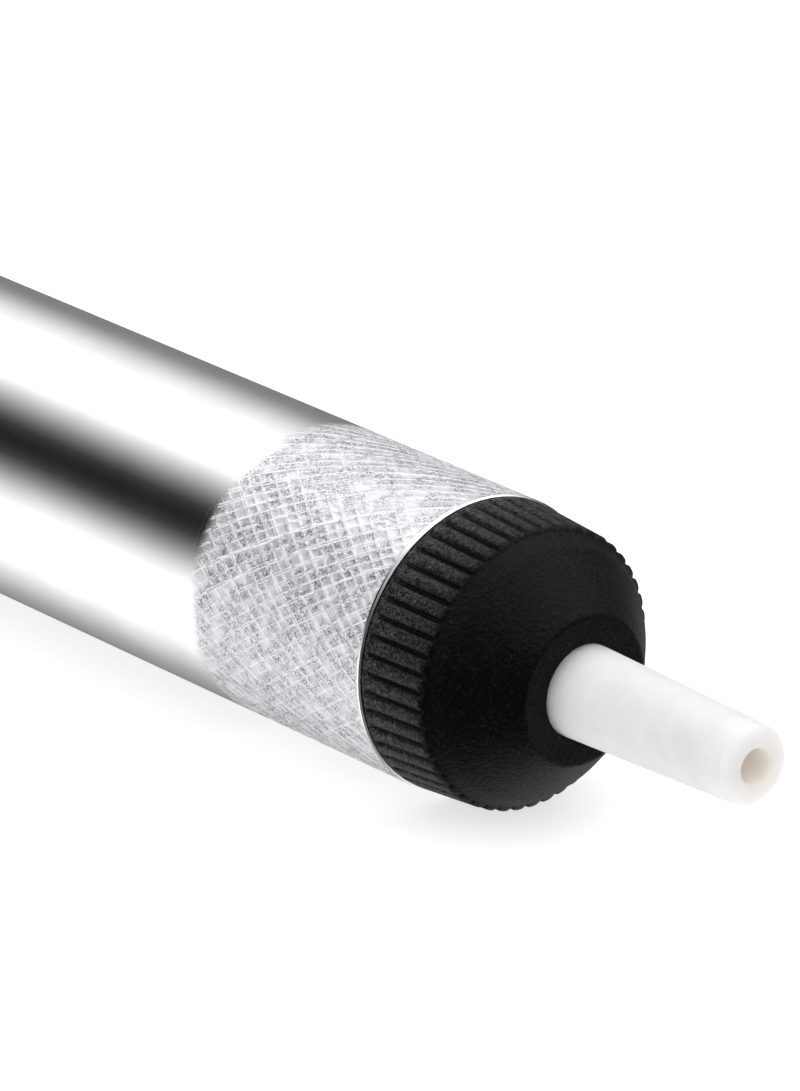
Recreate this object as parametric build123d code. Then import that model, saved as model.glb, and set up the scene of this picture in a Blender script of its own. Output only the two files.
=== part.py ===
from build123d import *
import os

# Desoldering pump lying along X with its nose towards +X and its button on top (+Z).
# The origin is under the middle of the pump, on the surface that the barrel lies on.
# Millimetres throughout.

# ---------------------------------------------------------------- driving dimensions
barrel_r = 10.0
barrel_wall = 1.2
barrel_length = 118.0
bore_r = barrel_r - barrel_wall
axis_z = barrel_r
fit_gap = 0.08                      # radial clearance of a part that slides in the barrel
rod_r = 2.5
stroke = 40.0
knurl_length = 17.4                 # knurled band behind the barrel's front rim
knurl_lip = 0.25                    # bare rim in front of the band
knurl_recess = 0.1                  # depth of the band's root below the barrel's surface

nozzle_reach = 26.5                 # nozzle tip in front of the barrel's rim
nozzle_tip_r = 2.63
nozzle_root_r = 3.1
nozzle_bore_r = 1.15
nozzle_flange_r = 4.5
nozzle_flange_thick = 2.0

cap_collar = 5.4                    # ribbed length of the nose cap
cap_front = 10.3                    # flat front face of the nose cap
cap_crest_r = 9.92
cap_face_r = 5.0
cap_cavity_r = 6.4
cap_cavity_end = 4.0                # the cavity's bottom, in front of the rim
rib_count = 48
rib_groove_depth = 0.5
rib_groove_width = 0.5

spigot_length = 9.0                 # how far each cap reaches into the barrel
thread_pitch = 1.0
thread_depth = 0.4

seal_wire = 1.25                    # section of the O-rings as they sit squeezed
seal_groove = 1.6                   # width of their grooves
seal_r = bore_r - 0.02              # outside of both O-rings, which just clears the bore
nose_seal_set_back = 2.0            # middle of the nose seal behind the rim
piston_seal_set_back = 6.0          # middle of the piston seal behind the piston's face

spring_wire = 0.9
spring_turns = 13
washer_thick = 0.8
needle_r = 0.8
needle_show = 1.0                   # how far the needle comes out of the nozzle when cocked
collet_r = 2.5
collet_depth = 3.0
piston_length = 12.0
piston_front = 52.0                 # piston's front face behind the rim, with the plunger out
nut_across = 9.0                    # across the corners
nut_thick = 2.9
bumper_thick = 2.0

housing_length = 20.0
latch_plate_thick = 1.5
latch_plate_half_width = 4.3
latch_plate_foot = 5.2              # foot of the plate below the pump's axis
latch_spring_r = 1.9
latch_spring_turns = 4
latch_wire = 0.4
button_r = 3.4
button_foot = 6.0                   # foot of its stem above the pump's axis
button_proud = 2.7                  # its top above the barrel
button_travel = 2.0
pin_r = 0.6
pin_height = 7.4                    # roll pin above the pump's axis
guard_stem_r = 4.9
guard_flange_r = 6.2
guard_proud = 1.3
screw_shank_r = 1.25
screw_head_r = 2.1
screw_inset = 4.5                   # housing screws in front of the housing's back face

rear_collar = 8.0
bush_r = 4.0
knob_r = 8.5
knob_length = 14.0
knob_bumper_thick = 1.5
insert_r = 3.6
insert_length = 9.4
disc_r = 4.2
disc_thick = 1.2
working_gap = 0.15                  # space left where a moving face stops against a fixed one
face_gap = 0.02                     # space between faces that touch
slip = 0.1                          # clearance of the latch's loose sliding parts

# ---------------------------------------------------------------- places along the pump
overall = nozzle_reach + barrel_length + rear_collar + stroke + knob_bumper_thick \
    + 2 * working_gap + knob_length
tip_x = overall / 2
rim_x = tip_x - nozzle_reach
barrel_back_x = rim_x - barrel_length
piston_front_x = rim_x - piston_front
piston_back_x = piston_front_x - piston_length
bumper_front_x = piston_back_x - working_gap
housing_front_x = bumper_front_x - bumper_thick
housing_back_x = housing_front_x - housing_length
latch_x = housing_front_x - housing_length / 2
rear_face_x = barrel_back_x - rear_collar
knob_front_x = rear_face_x - stroke - knob_bumper_thick - 2 * working_gap
knob_back_x = knob_front_x - knob_length
groove_x = latch_x - stroke         # latch groove of the rod, which meets the plate when cocked
seal_x = rim_x - nose_seal_set_back
cavity_x = rim_x + cap_cavity_end
flange_x = cavity_x + nozzle_flange_thick
screw_x = housing_back_x + screw_inset


# ---------------------------------------------------------------- shape helpers
def bar(x0, x1, r, height=0.0):
    """Solid cylinder along X, on the pump's axis or a height above it."""
    return Pos((x0 + x1) / 2, 0, axis_z + height) * Rot(0, 90, 0) * Cylinder(r, abs(x1 - x0))


def sleeve(x0, x1, r_out, r_in):
    """Hollow cylinder on the pump's axis."""
    return bar(x0, x1, r_out) - bar(x0 - 1, x1 + 1, r_in)


def post(x, low, high, r):
    """Vertical cylinder across the pump, between two heights above its axis."""
    return Pos(x, 0, axis_z + (low + high) / 2) * Cylinder(r, high - low)


def block(x, low, high, length, width):
    """Box across the pump, between two heights above its axis."""
    return Pos(x, 0, axis_z + (low + high) / 2) * Box(length, width, high - low)


def turned(outline):
    """Solid of revolution about the pump's axis from a closed line of (x, radius)."""
    return Pos(0, 0, axis_z) * revolve(Plane.XZ * make_face(outline), axis=Axis.X)


def cross_plane(x):
    """Plane across the pump's axis at x, facing the nose."""
    return Plane(origin=(x, 0, axis_z), x_dir=(0, 1, 0), z_dir=(1, 0, 0))


def hexagon(x0, x1, across_corners):
    """Hexagonal bar on the pump's axis."""
    return extrude(cross_plane(x0) * RegularPolygon(across_corners / 2, 6), amount=x1 - x0)


def around(shape, count):
    """Copies of a shape spaced evenly round the pump's axis."""
    to_axis = Pos(0, 0, axis_z)
    from_axis = Pos(0, 0, -axis_z)
    return [to_axis * Rot(360 * k / count, 0, 0) * from_axis * shape for k in range(count)]


def circles(shape):
    """The shape's round edges."""
    return shape.edges().filter_by(GeomType.CIRCLE)


def coil(turns, length, r, wire):
    """Helical spring that stands on the origin along Z, with r as the radius of its centreline."""
    path = Helix(length / turns, length, r)
    start = Plane(origin=path @ 0, z_dir=path % 0)
    return sweep(start * Circle(wire / 2), path=path, is_frenet=True)


def o_ring(x):
    """Seal as it sits squeezed in its groove."""
    return Pos(x, 0, axis_z) * Rot(0, 90, 0) * Torus(seal_r - seal_wire / 2, seal_wire / 2)


def seal_seat(x):
    """The ring that is cut away for an O-ring."""
    return sleeve(x - seal_groove / 2, x + seal_groove / 2, bore_r + 1, seal_r - seal_wire)


def rib_grooves(x0, x1):
    """V grooves along X that leave rib_count ribs on a collar."""
    above = 0.3
    half = rib_groove_width / 2 * (above + rib_groove_depth) / rib_groove_depth
    root = cap_crest_r - rib_groove_depth
    top = cap_crest_r + above
    vee = Polyline((-half, top), (half, top), (0, root), close=True)
    return around(extrude(cross_plane(x0) * make_face(vee), amount=x1 - x0), rib_count)


def thread_rings(x0, x1, r):
    """Ring grooves that stand for the thread between x0 and x1 on a spigot of radius r."""
    half = thread_pitch * 0.4
    rings = []
    for k in range(round((x1 - x0) / thread_pitch)):
        x = x0 + (k + 0.5) * thread_pitch
        vee = Polyline((x - half, r + 0.05), (x + half, r + 0.05), (x, r - thread_depth), close=True)
        rings.append(turned(vee))
    return rings


def side_posts(x, near, far, r):
    """Two cylinders along Y, one on each side, between two distances from the pump's axis."""
    middle = (near + far) / 2
    post_out = Rot(90, 0, 0) * Cylinder(r, far - near)
    return [Pos(x, side * middle, axis_z) * post_out for side in (1, -1)]


# ---------------------------------------------------------------- barrel
def barrel_tube():
    """Plated tube with a shallow band for the knurling, a button hole and two screw holes."""
    body = sleeve(barrel_back_x, rim_x, barrel_r, bore_r)
    body = chamfer(circles(body).group_by(Axis.X)[-1], 0.1)
    band_x = rim_x - knurl_lip
    body -= sleeve(band_x - knurl_length, band_x, barrel_r + 1, barrel_r - knurl_recess)
    body -= post(latch_x, bore_r / 2, barrel_r + 1, guard_stem_r + 0.05)
    return body - side_posts(screw_x, bore_r / 2, barrel_r + 1, screw_shank_r + slip)


# ---------------------------------------------------------------- nose
def nose_cap():
    """Ribbed collar and blunt cone, with a threaded spigot behind and the nozzle's seat inside."""
    back_x = rim_x - spigot_length
    spigot_r = bore_r - fit_gap
    stem_hole_r = nozzle_root_r + 0.04
    flange_hole_r = nozzle_flange_r + 0.05
    outline = FilletPolyline(
        (back_x, cap_cavity_r),
        (back_x, spigot_r),
        (rim_x, spigot_r),
        (rim_x, cap_crest_r),
        (rim_x + cap_collar, cap_crest_r - 0.17),
        (rim_x + cap_front, cap_face_r),
        (rim_x + cap_front, stem_hole_r),
        (flange_x, stem_hole_r),
        (flange_x, flange_hole_r),
        (cavity_x, flange_hole_r),
        (cavity_x, cap_cavity_r),
        radius=[0.05, 0.3, 0.05, 0.25, 3.4, 0.35, 0.1, 0.05, 0.05, 0.05, 0.1],
        close=True,
    )
    cap = turned(outline)
    cap -= rib_grooves(rim_x + 0.35, rim_x + cap_collar - 0.1)
    cap -= seal_seat(seal_x)
    return cap - thread_rings(back_x + 0.5, seal_x - 1.4, spigot_r)


def nozzle():
    """Tapered tip with a flange behind, drilled through for the solder and the needle."""
    body = turned(FilletPolyline(
        (cavity_x, 0),
        (cavity_x, nozzle_flange_r),
        (flange_x - face_gap, nozzle_flange_r),
        (flange_x - face_gap, nozzle_root_r),
        (rim_x + cap_front + 0.3, nozzle_root_r),
        (tip_x, nozzle_tip_r),
        (tip_x, 0),
        radius=[0, 0.2, 0.3, 0.1, 0.8, 0.6, 0],
        close=True,
    ))
    body -= bar(rim_x, tip_x + 1, nozzle_bore_r)
    mouth = Polyline((tip_x + 0.1, 0), (tip_x + 0.1, nozzle_bore_r + 0.3),
                     (tip_x - 0.3, nozzle_bore_r - 0.1), (tip_x - 0.3, 0), close=True)
    funnel = Polyline((cavity_x - 0.1, 0), (cavity_x - 0.1, 2.6),
                      (cavity_x + 1.6, nozzle_bore_r - 0.1), (cavity_x + 1.6, 0), close=True)
    return body - turned(mouth) - turned(funnel)


def spring_washer():
    """Steel washer between the nozzle's flange and the main spring."""
    return sleeve(cavity_x - washer_thick, cavity_x - face_gap, cap_cavity_r - 0.15, nozzle_root_r + slip)


# ---------------------------------------------------------------- plunger
def main_spring():
    """Return spring from the nose washer to the piston, with the plunger out."""
    x0 = piston_front_x + spring_wire / 2 + 0.05
    x1 = cavity_x - washer_thick - spring_wire / 2 - 0.05
    spring = coil(spring_turns, x1 - x0, cap_cavity_r - 0.2 - spring_wire / 2, spring_wire)
    return Pos(x0, 0, axis_z) * Rot(0, 90, 0) * spring


def piston():
    """Plastic piston with one seal groove, a collet's seat in front and a nut pocket behind."""
    body = bar(piston_back_x, piston_front_x, bore_r - fit_gap)
    body = fillet(circles(body), 0.4)
    body -= seal_seat(piston_front_x - piston_seal_set_back)
    body -= bar(piston_front_x - collet_depth, piston_front_x + 1, collet_r + 0.05)
    body -= bar(piston_back_x - 1, piston_back_x + nut_thick + 0.3, nut_across / 2 + 0.4)
    return body - bar(piston_back_x - 1, piston_front_x - collet_depth - 0.6, rod_r + 0.01)


def needle_holder():
    """Brass collet screwed into the piston's front, which grips the cleaning needle."""
    shoulder_x = piston_front_x + face_gap
    front_x = shoulder_x + 2.2
    body = bar(piston_front_x - collet_depth + 0.1, shoulder_x, collet_r)
    body += hexagon(shoulder_x, front_x, 6.4)
    body += turned(Polyline((front_x, 0), (front_x, 2.2), (front_x + 2.8, 1.5),
                            (front_x + 2.8, 0), close=True))
    return body - bar(piston_front_x - 2, front_x + 4, needle_r)


def cleaning_needle():
    """Steel wire that pushes solder out of the nozzle when the plunger is pressed in."""
    body = bar(piston_front_x - 1.9, tip_x + needle_show - stroke, needle_r)
    return fillet(circles(body).group_by(Axis.X)[-1], 0.35)


def plunger_rod():
    """Steel rod from the piston to the thumb knob, with the groove that the latch holds."""
    front_x = piston_front_x - collet_depth - 0.7
    body = bar(knob_front_x - insert_length + 0.4, front_x, rod_r)
    body = chamfer(circles(body), 0.3)
    half = latch_plate_thick / 2 + 2 * slip
    return body - sleeve(groove_x - half, groove_x + half, rod_r + 1, rod_r - 0.7)


def piston_lock_nut():
    """Hexagon nut behind the piston, in its pocket."""
    x0 = piston_back_x + 0.2
    nut = hexagon(x0, x0 + nut_thick, nut_across)
    return nut - bar(x0 - 1, x0 + nut_thick + 1, rod_r + 0.01)


def knob_bumper():
    """Rubber washer on the rod, in front of the knob."""
    return sleeve(knob_front_x + face_gap, knob_front_x + knob_bumper_thick, 2 * rod_r, rod_r + face_gap)


def thumb_knob():
    """Waisted plastic knob with a rounded thumb face."""
    waist_r = knob_r - 2.1
    brim_x = knob_back_x + 5.2
    outline = Line((knob_front_x, 0), (knob_front_x, waist_r))
    outline += ThreePointArc((knob_front_x, waist_r), (knob_front_x - 5, waist_r - 0.5),
                             (brim_x, knob_r - 0.5))
    outline += ThreePointArc((brim_x, knob_r - 0.5), (brim_x - 2, knob_r),
                             (knob_back_x + 1.0, knob_r - 1.1))
    outline += ThreePointArc((knob_back_x + 1.0, knob_r - 1.1), (knob_back_x + 0.25, knob_r - 2.3),
                             (knob_back_x, knob_r - 3.4))
    outline += Polyline((knob_back_x, knob_r - 3.4), (knob_back_x, 0), (knob_front_x, 0))
    body = turned(outline)
    body -= bar(knob_front_x - insert_length - 0.2, knob_front_x + 1, insert_r + face_gap)
    return body - bar(knob_back_x - 1, knob_back_x + disc_thick, disc_r + 0.05)


def knob_insert():
    """Brass insert moulded into the knob, screwed on the rod."""
    body = sleeve(knob_front_x - insert_length, knob_front_x - face_gap, insert_r, rod_r + 0.01)
    middle_x = knob_front_x - insert_length / 2
    return body - sleeve(middle_x - 0.7, middle_x + 0.7, insert_r + 1, insert_r - 0.4)


def knob_end_disc():
    """Plated disc let into the knob's thumb face."""
    body = bar(knob_back_x, knob_back_x + disc_thick - face_gap, disc_r)
    return fillet(circles(body).group_by(Axis.X)[0], 0.3)


# ---------------------------------------------------------------- latch and button
def return_bumper():
    """Rubber ring in front of the latch housing, which stops the piston."""
    return sleeve(housing_front_x + face_gap, bumper_front_x, bore_r - 0.2, rod_r + 0.7)


def latch_housing():
    """Plastic block inside the barrel that guides the rod, the latch plate and the button."""
    body = bar(housing_back_x, housing_front_x, bore_r - 0.03)
    body -= bar(housing_back_x - 1, housing_front_x + 1, rod_r + slip)
    slot_foot = latch_plate_foot + button_travel + 2 * slip
    slot_width = 2 * latch_plate_half_width + 3 * slip
    body -= block(latch_x, -slot_foot, bore_r + 1, latch_plate_thick + 2 * slip, slot_width)
    body -= post(latch_x, -bore_r - 1, -latch_plate_foot, latch_spring_r + 0.25)
    body -= post(latch_x, button_foot - button_travel - 0.4, bore_r + 1, button_r + slip)
    body -= post(latch_x, bore_r - 1.4, bore_r + 1, guard_stem_r + slip)
    return body - side_posts(screw_x, barrel_r - 4.2, barrel_r + 1, screw_shank_r)


def latch_plate():
    """Sliding plate whose long hole lets the rod through and catches its groove."""
    shoulder = 5.6
    tab_top = 8.6
    body = block(latch_x, -latch_plate_foot, shoulder, latch_plate_thick, 2 * latch_plate_half_width)
    body = fillet(body.edges().filter_by(Axis.X), 0.8)
    body += block(latch_x, shoulder - 1, tab_top, latch_plate_thick, 3.6)
    hole_r = rod_r + slip
    rise = button_travel + slip
    for height in (0, rise):
        body -= bar(latch_x - 2, latch_x + 2, hole_r, height)
    body -= block(latch_x, 0, rise, 4, 2 * hole_r)
    return body - bar(latch_x - 2, latch_x + 2, pin_r + 0.01, pin_height)


def latch_spring():
    """Small spring that lifts the latch plate and the button."""
    low = -bore_r + 0.5
    high = -latch_plate_foot - latch_wire / 2 - 0.05
    spring = coil(latch_spring_turns, high - low, latch_spring_r - latch_wire / 2, latch_wire)
    return Pos(latch_x, 0, axis_z + low) * spring


def release_button():
    """Domed button whose stem is forked over the latch plate's tab."""
    body = post(latch_x, button_foot, barrel_r + button_proud, button_r)
    body = fillet(circles(body).group_by(Axis.Z)[-1], 0.9)
    body -= block(latch_x, button_foot - 1, 8.8, latch_plate_thick + 0.06, 3.8)
    return body - bar(latch_x - 4, latch_x + 4, pin_r + 0.01, pin_height)


def button_pin():
    """Roll pin that ties the button's stem to the latch plate."""
    half = button_r - 0.5
    return bar(latch_x - half, latch_x + half, pin_r, pin_height)


def button_guard():
    """Ring round the button, let into the barrel, with a saddle that sits on its outside."""
    top = barrel_r + guard_proud
    flange = post(latch_x, barrel_r / 2, top, guard_flange_r)
    flange = fillet(circles(flange).group_by(Axis.Z)[-1], 0.6)
    flange -= bar(latch_x - guard_flange_r - 1, latch_x + guard_flange_r + 1, barrel_r + face_gap)
    body = post(latch_x, bore_r - 1.2, top, guard_stem_r) + flange
    return body - post(latch_x, 0, top + 1, button_r + 0.08)


def housing_screws():
    """Two pan-head screws through the barrel's sides into the latch housing."""
    head_foot = barrel_r + face_gap
    head_top = head_foot + 1.1
    shanks = side_posts(screw_x, barrel_r - 4.0, head_foot + 0.1, screw_shank_r - 0.06)
    heads = side_posts(screw_x, head_foot, head_top, screw_head_r)
    screws = []
    for side, shank, head in zip((1, -1), shanks, heads):
        outer_edge = circles(head).sort_by(Axis.Y)[-1 if side > 0 else 0]
        screw = shank + fillet(outer_edge, 0.5)
        for tall, wide in ((2.4, 0.45), (0.45, 2.4)):
            screw -= Pos(screw_x, side * head_top, axis_z) * Box(wide, 1.1, tall)
        screws.append(screw.solid())
    return Compound(children=screws)


# ---------------------------------------------------------------- rear end
def rear_cap():
    """Ribbed collar that closes the barrel behind and holds the rod's bush."""
    front_x = barrel_back_x + spigot_length
    spigot_r = bore_r - 0.03
    cap = turned(FilletPolyline(
        (front_x, bush_r + 0.01),
        (front_x, spigot_r),
        (barrel_back_x, spigot_r),
        (barrel_back_x, cap_crest_r),
        (rear_face_x + 2.0, cap_crest_r - 0.1),
        (rear_face_x, cap_crest_r - 2.2),
        (rear_face_x, bush_r + 0.01),
        radius=[0.05, 0.5, 0.05, 0.25, 1.2, 0.5, 0.1],
        close=True,
    ))
    return cap - rib_grooves(rear_face_x + 2.2, barrel_back_x - 0.35)


def rod_bush():
    """Acetal bush that carries the rod in the rear cap, with a flange inside the barrel."""
    front_x = barrel_back_x + spigot_length
    flange_back_x = front_x + face_gap
    body = bar(rear_face_x, flange_back_x + 0.1, bush_r) + bar(flange_back_x, front_x + 1.5, bush_r + 1.2)
    return body - bar(rear_face_x - 1, front_x + 3, rod_r + 0.06)


nodes = {
    "barrel_tube": barrel_tube(),
    "nose_cap": nose_cap(),
    "nose_o_ring": o_ring(seal_x),
    "nozzle": nozzle(),
    "spring_washer": spring_washer(),
    "main_spring": main_spring(),
    "piston": piston(),
    "piston_o_ring": o_ring(piston_front_x - piston_seal_set_back),
    "needle_holder": needle_holder(),
    "cleaning_needle": cleaning_needle(),
    "plunger_rod": plunger_rod(),
    "piston_lock_nut": piston_lock_nut(),
    "knob_bumper": knob_bumper(),
    "thumb_knob": thumb_knob(),
    "knob_insert": knob_insert(),
    "knob_end_disc": knob_end_disc(),
    "return_bumper": return_bumper(),
    "latch_housing": latch_housing(),
    "latch_plate": latch_plate(),
    "latch_spring": latch_spring(),
    "release_button": release_button(),
    "button_pin": button_pin(),
    "button_guard": button_guard(),
    "housing_screws": housing_screws(),
    "rear_cap": rear_cap(),
    "rod_bush": rod_bush(),
}

os.makedirs("parts", exist_ok=True)
for name, shape in nodes.items():
    export_step(shape, f"parts/{name}.step")
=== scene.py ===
import math

import bpy
import numpy as np
from mathutils import Matrix, Vector


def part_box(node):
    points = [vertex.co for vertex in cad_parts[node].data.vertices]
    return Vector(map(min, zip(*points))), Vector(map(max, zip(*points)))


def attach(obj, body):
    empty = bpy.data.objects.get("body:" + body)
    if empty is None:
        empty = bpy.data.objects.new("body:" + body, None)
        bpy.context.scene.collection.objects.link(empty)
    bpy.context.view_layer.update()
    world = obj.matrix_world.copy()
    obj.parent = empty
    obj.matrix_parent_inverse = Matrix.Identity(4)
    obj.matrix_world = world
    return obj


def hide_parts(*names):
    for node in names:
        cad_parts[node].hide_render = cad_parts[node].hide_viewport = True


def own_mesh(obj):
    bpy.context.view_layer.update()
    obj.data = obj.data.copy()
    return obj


MM = 0.001
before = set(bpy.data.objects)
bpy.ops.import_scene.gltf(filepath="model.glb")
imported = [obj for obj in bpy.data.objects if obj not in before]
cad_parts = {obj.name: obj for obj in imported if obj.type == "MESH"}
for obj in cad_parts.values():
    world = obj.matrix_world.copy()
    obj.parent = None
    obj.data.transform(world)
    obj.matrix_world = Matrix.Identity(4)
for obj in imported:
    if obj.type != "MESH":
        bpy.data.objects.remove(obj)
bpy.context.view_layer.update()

# ---------------------------------------------------------------- places, from the frame
barrel_low, barrel_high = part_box("barrel_tube")
nozzle_low, nozzle_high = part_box("nozzle")
rear_low, rear_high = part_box("rear_cap")
AXIS_Z = (barrel_low.z + barrel_high.z) / 2
BARREL_R = (barrel_high.z - barrel_low.z) / 2
RIM_X = barrel_high.x
BACK_X = barrel_low.x
TIP_X = nozzle_high.x


# ---------------------------------------------------------------- mesh helpers
def rounded(corners, steps=6):
    """Points of a line through (x, r, corner radius) corners, each rounded by an arc."""
    points = [np.array(corners[0][:2], float)]
    for before, here, after in zip(corners, corners[1:], corners[2:]):
        a, b, c = (np.array(p[:2], float) for p in (before, here, after))
        to_a = (a - b) / np.linalg.norm(a - b)
        to_c = (c - b) / np.linalg.norm(c - b)
        half = math.acos(np.clip(to_a @ to_c, -1, 1)) / 2
        radius = here[2]
        if radius <= 0 or half > math.pi / 2 - 1e-3:
            points.append(b)
            continue
        reach = radius / math.tan(half)
        limit = 0.49 * min(np.linalg.norm(a - b), np.linalg.norm(c - b))
        if reach > limit:
            radius *= limit / reach
            reach = limit
        middle = (to_a + to_c) / np.linalg.norm(to_a + to_c)
        centre = b + middle * radius / math.sin(half)
        start = b + to_a * reach - centre
        turn = math.pi - 2 * half
        if start[0] * (b + to_c * reach - centre)[1] < start[1] * (b + to_c * reach - centre)[0]:
            turn = -turn
        for k in range(steps + 1):
            t = turn * k / steps
            spin = np.array([[math.cos(t), -math.sin(t)], [math.sin(t), math.cos(t)]])
            points.append(centre + spin @ start)
    points.append(np.array(corners[-1][:2], float))
    return points


def divided(points, longest):
    """The same line with its straight runs cut into steps no longer than longest."""
    made = [points[0]]
    for a, b in zip(points, points[1:]):
        count = max(1, math.ceil(np.linalg.norm(b - a) / longest))
        made += [a + (b - a) * k / count for k in range(1, count + 1)]
    return made


def mesh_object(name, vertices, faces, smooth=True):
    mesh = bpy.data.meshes.new(name)
    mesh.from_pydata([tuple(v) for v in vertices], [], faces)
    mesh.validate()
    mesh.update()
    mesh.polygons.foreach_set("use_smooth", [smooth] * len(mesh.polygons))
    made = bpy.data.objects.new(name, mesh)
    bpy.context.scene.collection.objects.link(made)
    return made


def turned(name, line, angles, radius_at=None, closed=False):
    """A line of (x, r) in metres turned about the pump's axis; radius_at(x, r, angle) changes r."""
    vertices = []
    rows = []
    for x, r in line:
        if r < 1e-7:
            rows.append([len(vertices)] * len(angles))
            vertices.append((x, 0, AXIS_Z))
            continue
        rows.append(list(range(len(vertices), len(vertices) + len(angles))))
        for angle in angles:
            radius = radius_at(x, r, angle) if radius_at else r
            vertices.append((x, -radius * math.sin(angle), AXIS_Z + radius * math.cos(angle)))
    faces = []
    count = len(angles)
    pairs = list(zip(rows, rows[1:]))
    if closed:
        pairs.append((rows[-1], rows[0]))
    for row, following in pairs:
        for k in range(count):
            n = (k + 1) % count
            corners = [row[k], row[n], following[n], following[k]]
            face = [c for i, c in enumerate(corners) if c not in corners[:i]]
            if len(face) > 2:
                faces.append(face)
    return mesh_object(name, vertices, faces)


def even_angles(count):
    return [2 * math.pi * k / count for k in range(count)]


# ---------------------------------------------------------------- material helpers
class Graph:
    """Short calls that add nodes to a node tree and link them."""

    def __init__(self, tree):
        self.tree = tree

    def link(self, value, socket):
        if isinstance(value, bpy.types.NodeSocket):
            self.tree.links.new(value, socket)
        else:
            socket.default_value = value

    def vector(self, operation, value, other=None, scale=None):
        node = self.tree.nodes.new("ShaderNodeVectorMath")
        node.operation = operation
        self.link(value, node.inputs[0])
        if other is not None:
            self.link(other, node.inputs[1])
        if scale is not None:
            self.link(scale, node.inputs["Scale"])
        return node.outputs[0]

    def split(self, value):
        node = self.tree.nodes.new("ShaderNodeSeparateXYZ")
        self.link(value, node.inputs[0])
        return node.outputs["X"], node.outputs["Y"], node.outputs["Z"]

    def math(self, operation, *values):
        node = self.tree.nodes.new("ShaderNodeMath")
        node.operation = operation
        for value, socket in zip(values, node.inputs):
            self.link(value, socket)
        return node.outputs[0]

    def range(self, value, low, high, to_low=0.0, to_high=1.0, smooth=False):
        node = self.tree.nodes.new("ShaderNodeMapRange")
        if smooth:
            node.interpolation_type = "SMOOTHSTEP"
        self.link(value, node.inputs["Value"])
        ends = {"From Min": low, "From Max": high, "To Min": to_low, "To Max": to_high}
        for socket, number in ends.items():
            node.inputs[socket].default_value = number
        return node.outputs["Result"]

    def blend(self, share, first, second):
        node = self.tree.nodes.new("ShaderNodeMix")
        node.data_type = "RGBA"
        self.link(share, node.inputs["Factor"])
        self.link(first, node.inputs["A"])
        self.link(second, node.inputs["B"])
        return node.outputs["Result"]

    def ramp(self, value, low, high, stops, top):
        """Grey levels at stops between low and high, as shares of the level top."""
        node = self.tree.nodes.new("ShaderNodeValToRGB")
        node.color_ramp.interpolation = "B_SPLINE"
        elements = node.color_ramp.elements
        while len(elements) < len(stops):
            elements.new(0.5)
        for element, (place, level) in zip(elements, stops):
            element.position = (place - low) / (high - low)
            element.color = rgb(*(3 * [level / top]))
        self.link(self.range(value, low, high), node.inputs[0])
        return node.outputs["Color"]


class Surface(Graph):
    """A new material with its Principled shader and places on it in millimetres."""

    def __init__(self, name, **values):
        self.material = bpy.data.materials.new(name)
        self.material.use_nodes = True
        super().__init__(self.material.node_tree)
        self.shader = self.tree.nodes["Principled BSDF"]
        for socket, value in values.items():
            self.shader.inputs[socket.replace("_", " ")].default_value = value
        place = self.tree.nodes.new("ShaderNodeTexCoord").outputs["Object"]
        self.place = self.vector("SCALE", place, scale=1 / MM)

    def noise(self, scale, detail=2.0, roughness=0.5, place=None, distortion=0.0):
        node = self.tree.nodes.new("ShaderNodeTexNoise")
        self.link(place or self.place, node.inputs["Vector"])
        node.inputs["Scale"].default_value = scale
        node.inputs["Detail"].default_value = detail
        node.inputs["Roughness"].default_value = roughness
        node.inputs["Distortion"].default_value = distortion
        return node.outputs["Fac"]

    def bump(self, height, strength, distance_mm):
        node = self.tree.nodes.new("ShaderNodeBump")
        node.inputs["Strength"].default_value = strength
        node.inputs["Distance"].default_value = distance_mm * MM
        self.link(height, node.inputs["Height"])
        if self.shader.inputs["Normal"].is_linked:
            self.link(self.shader.inputs["Normal"].links[0].from_socket, node.inputs["Normal"])
        self.link(node.outputs["Normal"], self.shader.inputs["Normal"])

    def put(self, socket, value):
        self.link(value, self.shader.inputs[socket])

    def off_axis(self):
        """Distance from the pump's axis in millimetres."""
        x, y, z = self.split(self.place)
        up = self.math("SUBTRACT", z, AXIS_Z / MM)
        squares = self.math("ADD", self.math("MULTIPLY", y, y), self.math("MULTIPLY", up, up))
        return self.math("SQRT", squares)


def rgb(r, g, b):
    return (r, g, b, 1.0)


# ---------------------------------------------------------------- the knurling's pattern
KNURL_LIP = 0.25 * MM               # as on the CAD barrel: bare rim, band and its recess
KNURL_LENGTH = 17.4 * MM
KNURL_RECESS = 0.1 * MM
KNURL_LINES = 66
KNURL_LEAN = math.tan(math.radians(34))
KNURL_DRIFT = ((9, 0.010, 1.0), (23, 0.0075, 2.0), (31, 0.004, 3.5))


def knurl_cell(x, angle, side, sine, fraction, absolute):
    """Distance from a rolled line in shares of the lines' spacing, 0 on it and 0.5 between two."""
    turn = angle + x * (side * KNURL_LEAN / (BARREL_R / MM))
    drifted = turn
    for waves, reach, start in KNURL_DRIFT:
        drifted = drifted + sine(turn * waves + (start + side)) * reach
    return absolute(fraction(drifted * (KNURL_LINES / (2 * math.pi))) + -0.5)


class Value:
    """A node socket that can be added and multiplied like a number."""

    def __init__(self, graph, socket):
        self.graph, self.socket = graph, socket

    def made(self, operation, *others):
        others = [o.socket if isinstance(o, Value) else o for o in others]
        return Value(self.graph, self.graph.math(operation, self.socket, *others))

    def __add__(self, other):
        return self.made("ADD", other)

    def __mul__(self, other):
        return self.made("MULTIPLY", other)


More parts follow.
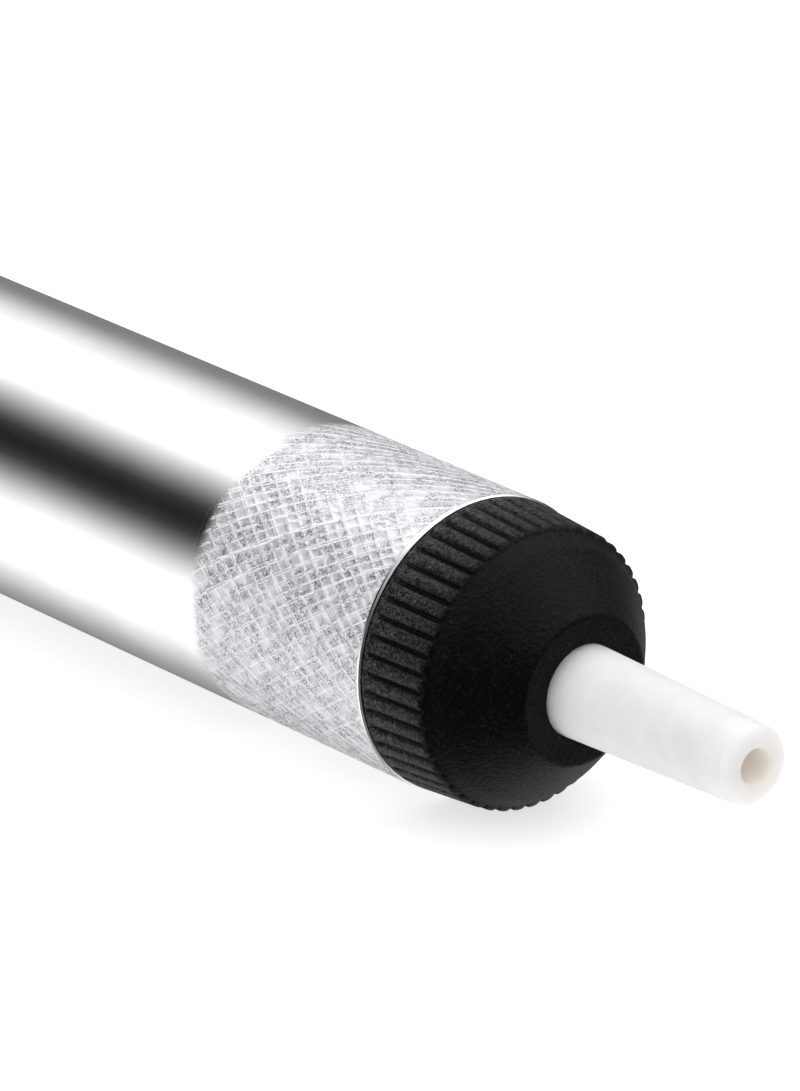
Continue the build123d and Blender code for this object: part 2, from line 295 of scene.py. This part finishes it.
# ---------------------------------------------------------------- materials
def chrome():
    """Mirror plating with a faint waviness and hairline handling scratches along the tube."""
    m = Surface("chrome_plate", Metallic=1.0)
    hair = m.noise(9.0, detail=3.0, place=m.vector("MULTIPLY", m.place, (0.06, 1.0, 1.0)))
    cloud = m.noise(0.25, detail=3.0)
    scratched = m.range(hair, 0.62, 0.75, 0.0, 0.05)
    m.put("Roughness", m.math("ADD", m.range(cloud, 0.3, 0.7, 0.05, 0.10), scratched))
    tint = m.blend(m.range(cloud, 0.35, 0.65), rgb(0.87, 0.875, 0.885), rgb(0.93, 0.93, 0.94))
    m.put("Base Color", tint)
    m.bump(m.noise(0.5, detail=1.0), 0.05, 0.05)
    return m.material


def knurled_metal():
    """Plated knurling: thin lines painted white as painted highlights on the rolled ridges, each
    family brighter on one side of the barrel, broken here and there, over mottled grey cells.
    """
    m = Surface("knurled_plate")
    x, y, z = m.split(m.place)
    along = Value(m, m.math("SUBTRACT", x, (RIM_X - KNURL_LIP - KNURL_LENGTH) / MM))
    up = m.math("SUBTRACT", z, AXIS_Z / MM)
    angle = Value(m, m.math("ARCTAN2", m.math("MULTIPLY", y, -1.0), up))
    upward = m.math("COSINE", angle.socket)
    grain = m.noise(7.0, detail=4.0, roughness=0.7)
    patches = m.noise(0.8, detail=2.0)
    tracks = None
    for side in (1, -1):
        cell = knurl_cell(along, angle, side, lambda v: v.made("SINE"), lambda v: v.made("FRACT"),
                          lambda v: v.made("ABSOLUTE"))
        shifted = m.vector("ADD", m.place, (side * 40.0, 0, 0))
        spread = m.range(m.noise(0.5, place=shifted), 0.42, 0.6, 0.02, 0.12)
        off_track = m.math("ABSOLUTE", m.math("SUBTRACT", cell.socket, spread))
        broken = m.range(m.noise(1.8, detail=3.0, place=shifted), 0.34, 0.54)
        # Painted light: one family of lines is painted brighter on the top of the barrel and the
        # other underneath, as the light falls.
        painted_highlight = m.range(upward, -1, 1, 0.62 - side * 0.38, 0.62 + side * 0.38)
        track = m.math("MULTIPLY", m.range(off_track, 0.03, 0.075, 1.0, 0.0, smooth=True),
                       m.math("MULTIPLY", broken, painted_highlight))
        tracks = track if tracks is None else m.math("MAXIMUM", tracks, track)
    mottle = m.blend(m.range(grain, 0.38, 0.62), rgb(0.15, 0.15, 0.17), rgb(0.80, 0.80, 0.83))
    lighter = m.blend(m.range(patches, 0.45, 0.65), mottle, rgb(0.70, 0.70, 0.73))
    rolled = m.range(along.socket, 0.1, 1.5, smooth=True)
    # The white colour of the lines is a painted highlight on the rolled ridges.
    painted_lines = m.blend(tracks, lighter, rgb(1.0, 1.0, 1.0))
    m.put("Base Color", m.blend(rolled, rgb(0.9, 0.9, 0.91), painted_lines))
    cell_rough = m.range(grain, 0.3, 0.7, 0.24, 0.38)
    rough = m.math("SUBTRACT", cell_rough, m.math("MULTIPLY", tracks, 0.08))
    m.put("Roughness", m.math("ADD", m.math("MULTIPLY", rough, rolled), 0.08))
    scattering = m.math("ADD", 0.44, m.math("MULTIPLY", tracks, 0.5))
    m.put("Metallic", m.math("SUBTRACT", 1.0, m.math("MULTIPLY", rolled, scattering)))
    m.bump(m.math("MULTIPLY", grain, rolled), 0.4, 0.03)
    m.bump(m.math("MULTIPLY", tracks, rolled), 0.8, 0.05)
    return m.material


def black_plastic(name="black_moulding", gloss=0.0, painted_highlight=False):
    """Satin black moulding with a fine spark-eroded grain and light specks that are partly dust and
    partly painted glints; on ribbed caps the rib crowns carry a painted highlight.
    """
    m = Surface(name, Specular_IOR_Level=0.09)
    grain = m.noise(3.6, detail=3.0, roughness=0.7)
    cloud = m.noise(0.35, detail=3.0)
    # Light specks from this noise are partly dust and partly painted glints.
    dust_and_glint = m.noise(4.5, detail=3.0, roughness=0.75, distortion=1.2)
    clean, dust_and_glint_colour = rgb(0.0012, 0.0012, 0.0013), rgb(0.018, 0.018, 0.019)
    colour = m.blend(m.range(dust_and_glint, 0.56, 0.74), clean, dust_and_glint_colour)
    if painted_highlight:
        # Painted highlight: the rib crowns are painted lighter, broken up by the speck noise.
        crest = m.math("MULTIPLY", m.range(m.off_axis(), 9.3, 9.8), m.range(dust_and_glint, 0.46, 0.66))
        colour = m.blend(crest, colour, rgb(0.085, 0.085, 0.087))
    m.put("Base Color", colour)
    fine, broad = m.range(grain, 0.3, 0.7, 0.20, 0.34), m.range(cloud, 0.3, 0.7, 0.0, 0.08)
    m.put("Roughness", m.math("SUBTRACT", m.math("ADD", fine, broad), gloss))
    m.bump(grain, 1.0 if gloss == 0 else 0.3, 0.1)
    return m.material


def ptfe():
    """Waxy white fluoroplastic that lets some light through, scorched a little at the mouth."""
    m = Surface("ptfe", Subsurface_Weight=1.0, Subsurface_Scale=5.0 * MM, IOR=1.38)
    m.shader.inputs["Subsurface Radius"].default_value = (1.0, 0.9, 0.8)
    cloud = m.noise(0.5, detail=3.0)
    marks = m.noise(2.2, detail=3.0, roughness=0.6)
    tint = m.blend(m.range(cloud, 0.35, 0.65), rgb(0.69, 0.687, 0.675), rgb(0.735, 0.732, 0.73))
    aged = m.blend(m.range(marks, 0.60, 0.78, 0.0, 0.6), tint, rgb(0.80, 0.79, 0.74))
    x = m.split(m.place)[0]
    near_mouth = m.math("MULTIPLY", m.range(m.off_axis(), 1.0, 2.4, 0.8, 0.0, smooth=True),
                        m.range(x, TIP_X / MM - 8, TIP_X / MM - 1, 0.0, 1.0, smooth=True))
    m.put("Base Color", m.blend(near_mouth, aged, rgb(0.76, 0.715, 0.68)))
    m.put("Roughness", m.range(marks, 0.3, 0.7, 0.38, 0.55))
    m.bump(m.noise(1.6, detail=5.0, roughness=0.6), 0.22, 0.06)
    return m.material


def acetal():
    """Machined off-white acetal with turning marks."""
    m = Surface("acetal", Subsurface_Weight=0.15, Subsurface_Scale=0.5 * MM)
    rings = m.noise(6.0, detail=2.0, place=m.vector("MULTIPLY", m.place, (1.0, 0.05, 0.05)))
    m.put("Base Color", m.blend(m.noise(0.5), rgb(0.70, 0.68, 0.62), rgb(0.80, 0.78, 0.73)))
    m.put("Roughness", m.range(rings, 0.3, 0.7, 0.35, 0.5))
    m.bump(rings, 0.2, 0.02)
    return m.material


def rubber():
    """Matt black nitrile with a soft bloom."""
    m = Surface("nitrile_rubber", Specular_IOR_Level=0.35)
    bloom = m.noise(1.2, detail=4.0)
    tint = m.blend(m.range(bloom, 0.4, 0.7), rgb(0.008, 0.008, 0.008), rgb(0.03, 0.029, 0.028))
    m.put("Base Color", tint)
    m.put("Roughness", m.range(bloom, 0.3, 0.7, 0.6, 0.78))
    m.bump(m.noise(6.0, detail=3.0), 0.2, 0.03)
    return m.material


def metal(name, colour, low, high, stretch=(1.0, 0.08, 0.08)):
    """Bright metal with fine marks, round the axis unless stretch says otherwise."""
    m = Surface(name, Metallic=1.0, Anisotropic=0.3)
    marks = m.noise(14.0, detail=3.0, place=m.vector("MULTIPLY", m.place, stretch))
    cloud = m.noise(0.4, detail=3.0)
    darker = rgb(*(0.8 * c for c in colour))
    m.put("Base Color", m.blend(m.range(cloud, 0.35, 0.65), darker, rgb(*colour)))
    m.put("Roughness", m.range(marks, 0.3, 0.7, low, high))
    m.bump(marks, 0.08, 0.01)
    return m.material


CHROME = chrome()
KNURL = knurled_metal()
BLACK = black_plastic()
RIBBED = black_plastic("ribbed_moulding", painted_highlight=True)
BUTTON = black_plastic("button_moulding", gloss=0.12)
PTFE = ptfe()
ACETAL = acetal()
RUBBER = rubber()
BRIGHT = metal("bright_steel", (0.74, 0.74, 0.75), 0.10, 0.22)
SPRING = metal("spring_wire", (0.52, 0.52, 0.54), 0.25, 0.4, stretch=(1.0, 1.0, 1.0))
ROD = metal("ground_rod", (0.70, 0.70, 0.71), 0.07, 0.13, stretch=(0.15, 1.0, 1.0))
DISC = metal("spun_disc", (0.55, 0.55, 0.57), 0.16, 0.28)
BRASS = metal("turned_brass", (0.80, 0.60, 0.28), 0.14, 0.28)
NODE_MATERIALS = {
    "barrel_tube": CHROME,
    "nose_cap": BLACK,
    "nose_o_ring": RUBBER,
    "nozzle": PTFE,
    "spring_washer": BRIGHT,
    "main_spring": SPRING,
    "piston": ACETAL,
    "piston_o_ring": RUBBER,
    "needle_holder": BRASS,
    "cleaning_needle": BRIGHT,
    "plunger_rod": ROD,
    "piston_lock_nut": BRIGHT,
    "knob_bumper": RUBBER,
    "thumb_knob": BLACK,
    "knob_insert": BRASS,
    "knob_end_disc": DISC,
    "return_bumper": RUBBER,
    "latch_housing": BLACK,
    "latch_plate": BRIGHT,
    "latch_spring": SPRING,
    "release_button": BUTTON,
    "button_pin": BRIGHT,
    "button_guard": BLACK,
    "housing_screws": BRIGHT,
    "rear_cap": BLACK,
    "rod_bush": ACETAL,
}
for node, material in NODE_MATERIALS.items():
    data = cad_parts[node].data
    data.materials.clear()
    data.materials.append(material)


def dress(piece, material, body, slot, *replaced):
    """Material, body and replaced CAD nodes of a new piece; the slot argument is not used."""
    piece.data.materials.clear()
    piece.data.materials.append(material)
    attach(piece, body)
    if replaced:
        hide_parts(*replaced)
    return piece


# ---------------------------------------------------------------- knurled band
BAND_OVERLAP = 0.03 * MM            # past the back end of the barrel's recess
BAND_EDGE = 0.005 * MM              # a narrow row at each end keeps the shading there even
BAND_PROUD = 0.0005 * MM
BAND_PLAIN = 0.9 * MM               # the lines start this far from the back end
BAND_RUN_IN = 2.0 * MM
BAND_RUN_OUT = 0.2 * MM
BAND_ROWS = 141
STEPS_PER_LINE = 10


def knurl_band():
    """Raised lines of two crossed families on a thin closed sleeve let into the barrel."""
    front = RIM_X - KNURL_LIP
    back = front - KNURL_LENGTH - BAND_OVERLAP
    around = STEPS_PER_LINE * KNURL_LINES
    root = BARREL_R - 0.9 * KNURL_RECESS
    depth = 0.5 * KNURL_RECESS
    rows = np.linspace(back, front, BAND_ROWS)
    edges = [back + BAND_EDGE], [front - BAND_EDGE]
    places = np.concatenate([rows[:1], edges[0], rows[1:-1], edges[1], rows[-1:]])
    angle, x = np.meshgrid(2 * np.pi * np.arange(around) / around, places)
    height = np.zeros_like(angle)
    for side in (1, -1):
        cell = knurl_cell((x - back) / MM, angle, side, np.sin, lambda v: v % 1.0, np.abs)
        height = np.maximum(height, np.clip((0.22 - cell) / 0.14, 0, 1))
    run_in = np.clip((x - back - BAND_PLAIN) / BAND_RUN_IN, 0, 1)
    run_out = np.clip((front - x) / BAND_RUN_OUT, 0, 1)
    radius = BARREL_R + BAND_PROUD - depth * (1 - height) * run_in * run_out
    x = np.concatenate([x, x[-1:], x[:1]])
    angle = np.concatenate([angle, angle[:2]])
    radius = np.concatenate([radius, np.full((2, around), root)])
    points = np.stack([x, -radius * np.sin(angle), AXIS_Z + radius * np.cos(angle)], axis=-1)
    grid = np.arange(x.size).reshape(-1, around)
    ahead = np.roll(grid, -1, axis=0)
    faces = np.stack([grid, ahead, np.roll(ahead, -1, axis=1), np.roll(grid, -1, axis=1)], axis=-1)
    return mesh_object("knurled_band", points.reshape(-1, 3), faces.reshape(-1, 4).tolist())


dress(knurl_band(), KNURL, "barrel", "barrel_chrome")


# ---------------------------------------------------------------- ribbed caps
RIBS = 48
RIB_STEPS = 12
RIB_DEPTH = 0.45 * MM
THREAD_PITCH = 1.0
THREAD_DEPTH = 0.36 * MM
CREST_R = 9.90                      # radii and lengths from here on are in millimetres
SPIGOT_LENGTH = 9.0
NOSE_SPIGOT_R = 8.72
CAVITY_R = 6.4
THREAD_END = -3.4
SEAL_GROOVE_R = 7.54
COLLAR = 5.3
COLLAR_FRONT_R = 9.52
FACE = 10.3
STEM_SEAT_R = 3.14
FLANGE_SEAT_R = 4.55
REAR_SPIGOT_R = 8.75
BUSH_SEAT_R = 4.02


def rib_shape(angle):
    """0 on a rib's crown and 1 at the foot of the groove beside it."""
    share = abs((angle * RIBS / (2 * math.pi)) % 1.0 - 0.5) * 2
    groove = min(1.0, max(0.0, (0.34 - share) / 0.24))
    return min(1.0, groove * groove * (3 - 2 * groove) + 0.30 * (1 - share) ** 2)


def rib_angles():
    """Angles closer together at the grooves than on the crowns."""
    steps = [k / RIB_STEPS for k in range(RIB_STEPS)]
    shares = [t + 0.1 * math.sin(2 * math.pi * t) for t in steps]
    return [2 * math.pi * (rib + share) / RIBS for rib in range(RIBS) for share in shares]


def ribbed(x0, x1):
    """radius_at for ribs from x0 to x1 with rounded ends."""
    def radius_at(x, r, angle):
        inside = min(x - x0, x1 - x)
        if inside <= 0:
            return r
        end = min(1.0, inside / (0.5 * MM))
        return r - RIB_DEPTH * rib_shape(angle) * math.sqrt(1 - (1 - end) ** 2)
    return radius_at


def threaded(x0, x1):
    """radius_at for a screw thread from x0 to x1, which runs out at both ends."""
    def radius_at(x, r, angle):
        inside = min(x - x0, x1 - x)
        if inside <= 0:
            return r
        turn = (x / MM / THREAD_PITCH + angle / (2 * math.pi)) % 1.0
        crest = min(1.0, max(0.0, 2.4 * abs(turn - 0.5) - 0.1))
        return r - THREAD_DEPTH * (1 - crest) * min(1.0, inside / (0.6 * MM))
    return radius_at


def mm_line(corners, origin_x, longest=50.0):
    """A rounded line from corners in millimetres, measured forward from origin_x."""
    line = divided(rounded(corners), longest)
    return [(origin_x + p[0] * MM, p[1] * MM) for p in line]


def nose_cap_shell():
    """The nose cap: threaded spigot, seal groove, ribbed collar, blunt cone and nozzle seat."""
    thread = mm_line([
        (-SPIGOT_LENGTH, CAVITY_R, 0), (-SPIGOT_LENGTH, NOSE_SPIGOT_R, 0.3),
        (THREAD_END, NOSE_SPIGOT_R, 0),
    ], RIM_X, 0.11)
    seal = mm_line([
        (THREAD_END, NOSE_SPIGOT_R, 0), (-2.8, NOSE_SPIGOT_R, 0.05), (-2.8, SEAL_GROOVE_R, 0.05),
        (-1.2, SEAL_GROOVE_R, 0.05), (-1.2, NOSE_SPIGOT_R, 0.05), (0, NOSE_SPIGOT_R, 0),
    ], RIM_X)
    collar = mm_line([
        (0, NOSE_SPIGOT_R, 0), (0, CREST_R, 0.25), (COLLAR, COLLAR_FRONT_R, 0),
    ], RIM_X, 0.3)
    dome = mm_line([
        (COLLAR, COLLAR_FRONT_R, 0), (5.55, 9.15, 0.3), (6.5, 8.5, 2.6), (FACE, 5.0, 0.5),
        (FACE, STEM_SEAT_R, 0.12), (6.0, STEM_SEAT_R, 0), (6.0, FLANGE_SEAT_R, 0),
        (4.0, FLANGE_SEAT_R, 0), (4.0, CAVITY_R, 0.1), (-SPIGOT_LENGTH, CAVITY_R, 0),
    ], RIM_X)
    ribs = ribbed(RIM_X + 0.3 * MM, RIM_X + 5.45 * MM)
    screw = threaded(RIM_X - 8.6 * MM, RIM_X - 3.5 * MM)

    def radius_at(x, r, angle):
        if r < NOSE_SPIGOT_R * MM - 1e-6:
            return r
        return ribs(x, r, angle) if x > RIM_X else screw(x, r, angle)

    line = thread + seal[1:] + collar[1:] + dome[1:-1]
    return turned("nose_cap_shell", line, rib_angles(), radius_at, closed=True)


def rear_cap_shell():
    """The rear cap: smooth spigot, ribbed collar, chamfered end and the bush's hole."""
    end_x = (rear_low.x - BACK_X) / MM
    line = mm_line([
        (SPIGOT_LENGTH, BUSH_SEAT_R, 0), (SPIGOT_LENGTH, REAR_SPIGOT_R, 0.5),
        (0, REAR_SPIGOT_R, 0.05),
    ], BACK_X)
    collar = mm_line([
        (0, REAR_SPIGOT_R, 0), (0, CREST_R, 0.25), (end_x + 2.2, CREST_R - 0.06, 0),
    ], BACK_X, 0.3)
    end = mm_line([
        (end_x + 2.2, CREST_R - 0.06, 0), (end_x + 2.0, CREST_R - 0.2, 0.3), (end_x, 7.7, 0.8),
        (end_x, BUSH_SEAT_R, 0.12), (SPIGOT_LENGTH, BUSH_SEAT_R, 0),
    ], BACK_X)
    ribs = ribbed(rear_low.x + 2.0 * MM, BACK_X - 0.3 * MM)
    return turned("rear_cap_shell", line + collar[1:] + end[1:-1], rib_angles(), ribs, closed=True)


dress(nose_cap_shell(), RIBBED, "nose", "black_plastic", "nose_cap")
dress(rear_cap_shell(), RIBBED, "barrel", "black_plastic", "rear_cap")


# ---------------------------------------------------------------- nozzle
FLANGE_R = 4.5
STEM_R = 3.1
TIP_R = 2.63
BORE_R = 1.15
FUNNEL_R = 2.6


def nozzle_tip():
    """Tapered nozzle with a softly rounded mouth and a flange inside the cap."""
    front = (TIP_X - RIM_X) / MM
    corners = [
        (4.0, FUNNEL_R, 0), (4.0, FLANGE_R, 0.2), (5.98, FLANGE_R, 0.2), (5.98, STEM_R, 0.1),
        (10.6, STEM_R, 1.0), (front, TIP_R, 0.75), (front, BORE_R, 0.4), (5.6, BORE_R, 0.0),
        (4.0, FUNNEL_R, 0),
    ]
    return turned("nozzle_tip", mm_line(corners, RIM_X, 2.0)[:-1], even_angles(160), closed=True)


dress(nozzle_tip(), PTFE, "nose", "white_ptfe", "nozzle")


# ---------------------------------------------------------------- springs
STEPS_PER_TURN = 40
WIRE_SIDES = 14


def spring(name, low_end, high_end, axis, foot, r, wire, turns):
    """A compression spring with closed, tapered end coils, along axis from foot."""
    length = high_end - low_end
    steps = STEPS_PER_TURN * turns
    closed = 1.0 / turns
    closed_rise = 1.02 * wire / length
    slope = (0.5 - closed_rise) / (0.5 - closed)
    vertices = []
    for k in range(steps + 1):
        t = k / steps
        nearer_end = min(t, 1 - t)
        rise = closed_rise + (nearer_end - closed) * slope
        if nearer_end < closed:
            rise = nearer_end * closed_rise / closed
        if t >= 0.5:
            rise = 1 - rise
        turn = 2 * math.pi * turns * t
        outward = Vector((math.cos(turn), math.sin(turn), 0))
        centre = outward * r + Vector((0, 0, wire / 2 + rise * (length - wire)))
        thick = wire / 2 * min(1.0, 0.35 + nearer_end * turns * 2)
        for j in range(WIRE_SIDES):
            a = 2 * math.pi * j / WIRE_SIDES
            across = outward * thick * math.cos(a)
            vertices.append(centre + across + Vector((0, 0, thick * math.sin(a))))
    faces = []
    for k in range(steps):
        here, following = k * WIRE_SIDES, (k + 1) * WIRE_SIDES
        for j in range(WIRE_SIDES):
            n = (j + 1) % WIRE_SIDES
            faces.append([here + j, here + n, following + n, following + j])
    faces.append(list(range(WIRE_SIDES))[::-1])
    faces.append([steps * WIRE_SIDES + j for j in range(WIRE_SIDES)])
    place = Matrix.Translation(foot) @ axis.to_track_quat("Z", "Y").to_matrix().to_4x4()
    return mesh_object(name, [place @ v for v in vertices], [f[::-1] for f in faces])


def main_spring_coil():
    low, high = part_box("main_spring")
    wire = 0.9 * MM
    made = spring("main_spring_coil", low.x, high.x, Vector((1, 0, 0)), Vector((low.x, 0, AXIS_Z)),
                  (high.z - low.z) / 2 - wire / 2, wire, 13)
    dress(made, SPRING, "barrel", "spring_steel", "main_spring")
    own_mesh(made)


def latch_spring_coil():
    low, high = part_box("latch_spring")
    middle = (low + high) / 2
    wire = 0.4 * MM
    foot = Vector((middle.x, 0, low.z))
    made = spring("latch_spring_coil", low.z, high.z, Vector((0, 0, 1)), foot,
                  (high.x - low.x) / 2 - wire / 2, wire, 4)
    dress(made, SPRING, "barrel", "spring_steel", "latch_spring")
    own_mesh(made)


main_spring_coil()
latch_spring_coil()


# ---------------------------------------------------------------- camera, light and floor
CAMERA_AZIMUTH = 50.25
CAMERA_ELEVATION = 21.1
CAMERA_DISTANCE = 0.499
LENS = 256.9
RIM_RIGHT = 5.088 * MM              # the rim's centre is this far right of the view's centre
RIM_BELOW = 6.363 * MM


def camera():
    a, e = math.radians(CAMERA_AZIMUTH), math.radians(CAMERA_ELEVATION)
    back = Vector((math.sin(a) * math.cos(e), -math.cos(a) * math.cos(e), math.sin(e)))
    right = Vector((math.cos(a), math.sin(a), 0))
    up = back.cross(right)
    target = Vector((RIM_X, 0, AXIS_Z)) - right * RIM_RIGHT + up * RIM_BELOW
    data = bpy.data.cameras.new("camera")
    data.lens = LENS
    data.sensor_width = 36
    data.clip_start = 0.01
    data.clip_end = 50
    made = bpy.data.objects.new("camera", data)
    bpy.context.scene.collection.objects.link(made)
    made.matrix_world = Matrix.Translation(target + back * CAMERA_DISTANCE) @ Matrix(
        (right, up, back)).transposed().to_4x4()
    bpy.context.scene.camera = made


def floor():
    """A pale floor that glossy surfaces don't mirror: they see the studio's lower half instead."""
    side = 8.0
    corners = [(-side, -side, 0), (side, -side, 0), (side, side, 0), (-side, side, 0)]
    made = mesh_object("floor", corners, [(0, 1, 2, 3)], smooth=False)
    m = Surface("pale_floor", Roughness=0.8, Base_Color=rgb(0.5, 0.5, 0.5), Specular_IOR_Level=0.05)
    m.shader.inputs["Emission Color"].default_value = rgb(1, 1, 1)
    m.shader.inputs["Emission Strength"].default_value = FLOOR_GLOW
    made.data.materials.append(m.material)
    made.visible_glossy = False


FLOOR_GLOW = 0.7
STUDIO_LEVEL = 1.3
STUDIO_TOP = 2.0                    # the brightest level that the ramps can hold
BEHIND = [                          # (degrees round the pump's length, level)
    (-180, .18), (-149, .17), (-126, .23), (-105, .32), (-89, .55), (-74, .76), (-45, 1.2),
    (-17, .93), (-5, .60), (7, .20), (20, .009), (42, .007), (54, .18), (66, .55), (77, .95),
    (86, 1.6), (95, 2.0), (103, 1.6), (112, 1.0), (128, .85), (142, .60), (156, .34),
    (168, .21), (180, .18),
]
NEAR_AHEAD = [                      # (height of the direction, level)
    (-1, .22), (-.4, .08), (.1, .05), (.35, .12), (.6, .45), (.8, .75), (1, 1.1),
]
FAR_AHEAD = [
    (-1, .8), (-.5, .42), (-.12, .35), (-.03, .10), (.03, .03), (.2, .06), (.4, .4), (.6, 1.3),
    (.8, 1.6), (1, 1.4),
]
PANEL_LEVEL = 0.8


def studio():
    """Light by direction: bands along the pump, a pale ceiling ahead and a panel on one side."""
    world = bpy.data.worlds.new("studio")
    bpy.context.scene.world = world
    world.use_nodes = True
    g = Graph(world.node_tree)
    x, y, z = g.split(g.tree.nodes.new("ShaderNodeTexCoord").outputs["Generated"])
    turn = g.math("ARCTAN2", z, g.math("MULTIPLY", y, -1.0))
    behind = g.ramp(g.math("MULTIPLY", turn, 180 / math.pi), -180, 180, BEHIND, STUDIO_TOP)
    near = g.ramp(z, -1, 1, NEAR_AHEAD, STUDIO_TOP)
    far = g.ramp(z, -1, 1, FAR_AHEAD, STUDIO_TOP)
    ahead = g.blend(g.range(y, -0.3, 0.2, smooth=True), near, far)
    room = g.blend(g.range(x, -0.5, -0.15, smooth=True), behind, ahead)
    panel = 1.0
    panel_edges = ((x, -0.58, -0.42), (x, 0.15, -0.1), (y, -0.3, -0.55), (z, 0.02, 0.16))
    for place, start, full in panel_edges:
        panel = g.math("MULTIPLY", panel, g.range(place, start, full, smooth=True))
    background = g.tree.nodes["Background"]
    g.link(g.blend(panel, room, rgb(*(3 * [PANEL_LEVEL]))), background.inputs["Color"])
    background.inputs["Strength"].default_value = STUDIO_TOP * STUDIO_LEVEL


camera()
floor()
studio()
bpy.context.scene.view_settings.view_transform = "Standard"
